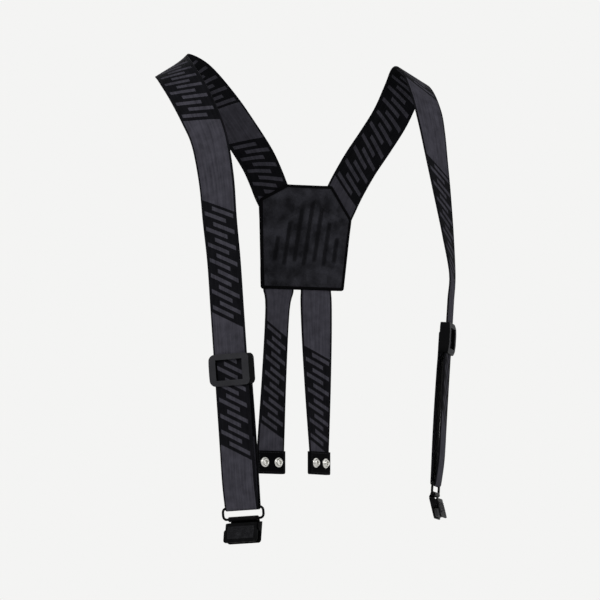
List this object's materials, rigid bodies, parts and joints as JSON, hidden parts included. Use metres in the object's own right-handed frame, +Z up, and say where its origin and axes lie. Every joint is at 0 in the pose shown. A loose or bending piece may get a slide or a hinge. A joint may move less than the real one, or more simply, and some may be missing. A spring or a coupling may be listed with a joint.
{
  "type": "suspenders",
  "caption": "Black webbing suspenders with a back patch, sliding adjusters, bail clips and rear snap tabs.",
  "frame": {"origin": "midway between the two shoulder crests, where the straps rest on the wearer's shoulders", "axes": "+Z up; the front, with the adjusters and clips, faces -Y; +X is the wearer's left"},
  "size_m": [0.3084, 0.2039, 0.5068],
  "materials": {
    "webbing": "woven",
    "coated_patch": "matte",
    "black_plastic": "matte",
    "black_metal": "satin",
    "spring_steel": "satin",
    "grip_rubber": "matte",
    "nickel": "polished"
  },
  "bodies": {
    "harness": {"shoulder_strap_right": "webbing", "shoulder_strap_left": "webbing", "back_patch_outer": "coated_patch", "back_patch_inner": "coated_patch", "tab_stub_right": "webbing", "tab_stub_left": "webbing"},
    "adjuster_right": {"adjuster_frame_right": "black_plastic", "strap_loop_right": "webbing"},
    "bail_right": {"clip_bail_right": "black_metal"},
    "clip_right": {"clip_back_plate_right": "black_metal", "clip_pin_right": "black_metal", "clip_spring_right": "spring_steel", "clip_pad_back_right": "grip_rubber"},
    "lever_right": {"clip_lever_right": "black_metal", "clip_pad_front_right": "grip_rubber"},
    "tab_right": {"rear_tab_right": "webbing", "tab_end_outer_right": "coated_patch", "tab_end_inner_right": "coated_patch", "snap_cap_a_right": "nickel", "snap_cap_b_right": "nickel", "snap_socket_a_right": "nickel", "snap_socket_b_right": "nickel"},
    "adjuster_left": {"adjuster_frame_left": "black_plastic", "strap_loop_left": "webbing"},
    "bail_left": {"clip_bail_left": "black_metal"},
    "clip_left": {"clip_back_plate_left": "black_metal", "clip_pin_left": "black_metal", "clip_spring_left": "spring_steel", "clip_pad_back_left": "grip_rubber"},
    "lever_left": {"clip_lever_left": "black_metal", "clip_pad_front_left": "grip_rubber"},
    "tab_left": {"rear_tab_left": "webbing", "tab_end_outer_left": "coated_patch", "tab_end_inner_left": "coated_patch", "snap_cap_a_left": "nickel", "snap_cap_b_left": "nickel", "snap_socket_a_left": "nickel", "snap_socket_b_left": "nickel"}
  },
  "joints": [
    {"name": "adjuster_slide_right", "type": "slide", "parent": "harness", "child": "adjuster_right", "axis": [-0.0771, -0.012, 0.997], "range_m": [-0.04, 0.015]},
    {"name": "clip_slide_right", "type": "slide", "parent": "adjuster_right", "child": "bail_right", "axis": [-0.0771, -0.012, 0.997], "range_m": [-0.0075, 0.02], "deforming": ["strap_loop_right"]},
    {"name": "clip_swing_right", "type": "hinge", "parent": "bail_right", "child": "clip_right", "pos_m": [-0.09706, -0.10146, -0.46989], "axis": [-0.5994, 0.7996, -0.0367], "range_deg": [-45, 60]},
    {"name": "lever_flip_right", "type": "hinge", "parent": "clip_right", "child": "lever_right", "pos_m": [-0.09817, -0.10264, -0.47772], "axis": [-0.5994, 0.7996, -0.0367], "range_deg": [0, 75]},
    {"name": "tab_swing_right", "type": "hinge", "parent": "harness", "child": "tab_right", "pos_m": [-0.0005, 0.062, -0.2244], "axis": [1, 0, 0], "range_deg": [-30, 30]},
    {"name": "adjuster_slide_left", "type": "slide", "parent": "harness", "child": "adjuster_left", "axis": [0.0585, -0.0225, 0.998], "range_m": [-0.04, 0.015]},
    {"name": "clip_slide_left", "type": "slide", "parent": "adjuster_left", "child": "bail_left", "axis": [0.0585, -0.0225, 0.998], "range_m": [-0.0075, 0.02], "deforming": ["strap_loop_left"]},
    {"name": "clip_swing_left", "type": "hinge", "parent": "bail_left", "child": "clip_left", "pos_m": [0.11031, -0.09991, -0.44293], "axis": [-0.4995, -0.8663, 0.0097], "range_deg": [-45, 60]},
    {"name": "lever_flip_left", "type": "hinge", "parent": "clip_left", "child": "lever_left", "pos_m": [0.11206, -0.101, -0.45066], "axis": [-0.4995, -0.8663, 0.0097], "range_deg": [0, 75]},
    {"name": "tab_swing_left", "type": "hinge", "parent": "harness", "child": "tab_left", "pos_m": [0.0414, 0.062, -0.2244], "axis": [1, 0, 0], "range_deg": [-30, 30]}
  ],
  "couplings": [
    {"joint": "clip_slide_right", "follows": "adjuster_slide_right", "ratio": -0.5},
    {"joint": "clip_slide_left", "follows": "adjuster_slide_left", "ratio": -0.5}
  ]
}
